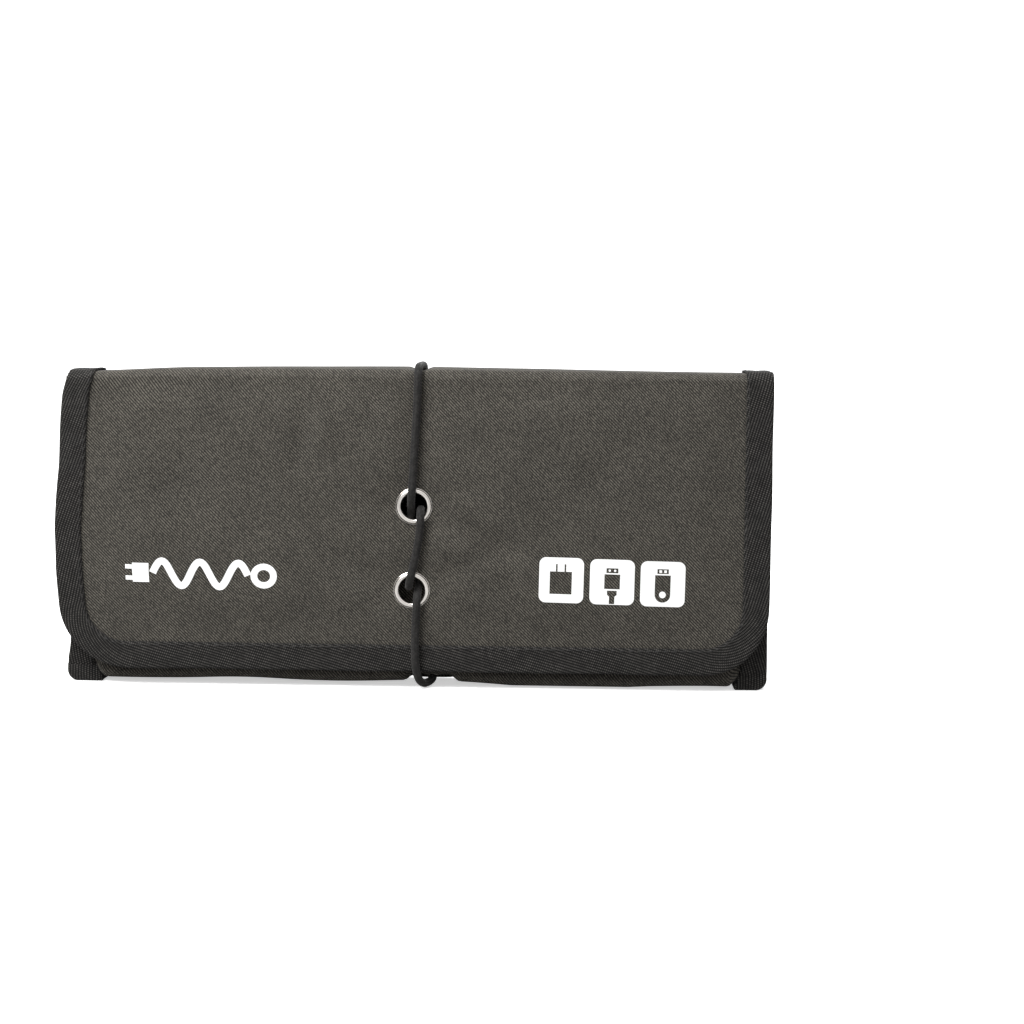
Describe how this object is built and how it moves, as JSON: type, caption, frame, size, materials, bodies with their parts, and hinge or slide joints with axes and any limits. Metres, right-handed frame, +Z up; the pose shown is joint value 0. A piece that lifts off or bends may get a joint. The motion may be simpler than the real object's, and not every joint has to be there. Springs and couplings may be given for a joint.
{
  "type": "cable organizer pouch",
  "caption": "Folded padded fabric pouch for cables, with a flap, eyelets and an elastic cord closure, zip pocket and cable loops inside.",
  "frame": {"origin": "on the floor under the middle of the folded pouch", "axes": "+X along the folds to the right seen from the front, the flap faces -Y, +Z up"},
  "size_m": [0.264, 0.036, 0.1223],
  "materials": {
    "melange_cloth": "woven melange twill",
    "foam": "closed-cell foam",
    "lining": "plain weave",
    "binding_tape": "woven twill tape",
    "eyelet_metal": "polished nickel",
    "zip_metal": "satin nickel",
    "zip_plastic": "nylon coil",
    "zip_tape": "woven tape",
    "elastic_band": "woven elastic",
    "pocket_mesh": "mesh",
    "patch": "grained",
    "cord_end_plastic": "moulded",
    "elastic_cord": "braided sheath over elastic"
  },
  "bodies": {
    "back_panel": {"back_cloth": "melange_cloth", "back_stiffener": "foam", "back_lining": "lining", "back_binding": "binding_tape", "zip_pocket_edge": "binding_tape", "zip_pocket_sheet": "pocket_mesh", "zip_tapes": "zip_tape", "zip_teeth": "zip_plastic", "zip_stops": "zip_metal", "cable_loops": "elastic_band", "cord_anchor_patch": "patch", "cord_back_run": "elastic_cord"},
    "top_spine": {"top_cloth": "melange_cloth", "top_stiffener": "foam", "top_lining": "lining", "top_binding": "binding_tape", "top_back_fold": "melange_cloth", "top_back_fold_tape": "binding_tape", "top_front_fold": "melange_cloth", "top_front_fold_tape": "binding_tape", "cord_top_run": "elastic_cord"},
    "front_flap": {"flap_cloth": "melange_cloth", "flap_stiffener": "foam", "flap_lining": "lining", "flap_binding": "binding_tape", "upper_eyelet": "eyelet_metal", "upper_eyelet_washer": "eyelet_metal", "lower_eyelet": "eyelet_metal", "lower_eyelet_washer": "eyelet_metal", "flap_mesh_pockets": "pocket_mesh", "mesh_pocket_hems": "elastic_band", "cord_front_run": "elastic_cord", "cord_lacing": "elastic_cord", "cord_tail_run": "elastic_cord", "cord_end_bar": "cord_end_plastic"},
    "bottom_spine": {"bottom_cloth": "melange_cloth", "bottom_stiffener": "foam", "bottom_lining": "lining", "bottom_binding": "binding_tape", "corner_feet": "binding_tape", "bottom_eyelet": "eyelet_metal", "bottom_eyelet_washer": "eyelet_metal", "bottom_back_fold": "melange_cloth", "bottom_back_fold_tape": "binding_tape", "bottom_front_fold": "melange_cloth", "bottom_front_fold_tape": "binding_tape"},
    "pocket_panel": {"pocket_cloth": "melange_cloth", "pocket_stiffener": "foam", "pocket_lining": "lining", "pocket_binding": "binding_tape", "pocket_sleeve": "pocket_mesh", "pocket_sleeve_hem": "elastic_band"},
    "zip_slider": {"zip_slider": "zip_metal"},
    "zip_pull": {"zip_pull": "zip_metal"}
  },
  "joints": [
    {"name": "top_spine_fold", "type": "hinge", "parent": "back_panel", "child": "top_spine", "pos_m": [0, 0.011, 0.1161], "axis": [-1, 0, 0], "range_deg": [0, 89], "deforming": ["top_back_fold", "top_back_fold_tape", "cord_back_run", "cord_top_run"]},
    {"name": "flap_fold", "type": "hinge", "parent": "top_spine", "child": "front_flap", "pos_m": [0, -0.011, 0.1161], "axis": [-1, 0, 0], "range_deg": [0, 89], "deforming": ["top_front_fold", "top_front_fold_tape", "cord_front_run", "cord_lacing", "cord_tail_run"]},
    {"name": "bottom_spine_fold", "type": "hinge", "parent": "back_panel", "child": "bottom_spine", "pos_m": [0, 0.011, 0.0071], "axis": [1, 0, 0], "range_deg": [0, 89], "deforming": ["bottom_back_fold", "bottom_back_fold_tape"]},
    {"name": "pocket_fold", "type": "hinge", "parent": "bottom_spine", "child": "pocket_panel", "pos_m": [0, -0.0032, 0.0071], "axis": [1, 0, 0], "range_deg": [0, 89], "deforming": ["bottom_front_fold", "bottom_front_fold_tape"]},
    {"name": "zip_run", "type": "slide", "parent": "back_panel", "child": "zip_slider", "axis": [1, 0, 0], "range_m": [0, 0.22]},
    {"name": "zip_pull_turn", "type": "hinge", "parent": "zip_slider", "child": "zip_pull", "pos_m": [-0.11, 0.0045, 0.066], "axis": [0, 0, -1], "range_deg": [0, 180]}
  ],
  "couplings": [
    {"joint": "flap_fold", "follows": "top_spine_fold", "ratio": 1},
    {"joint": "bottom_spine_fold", "follows": "top_spine_fold", "ratio": 1},
    {"joint": "pocket_fold", "follows": "top_spine_fold", "ratio": 1}
  ]
}
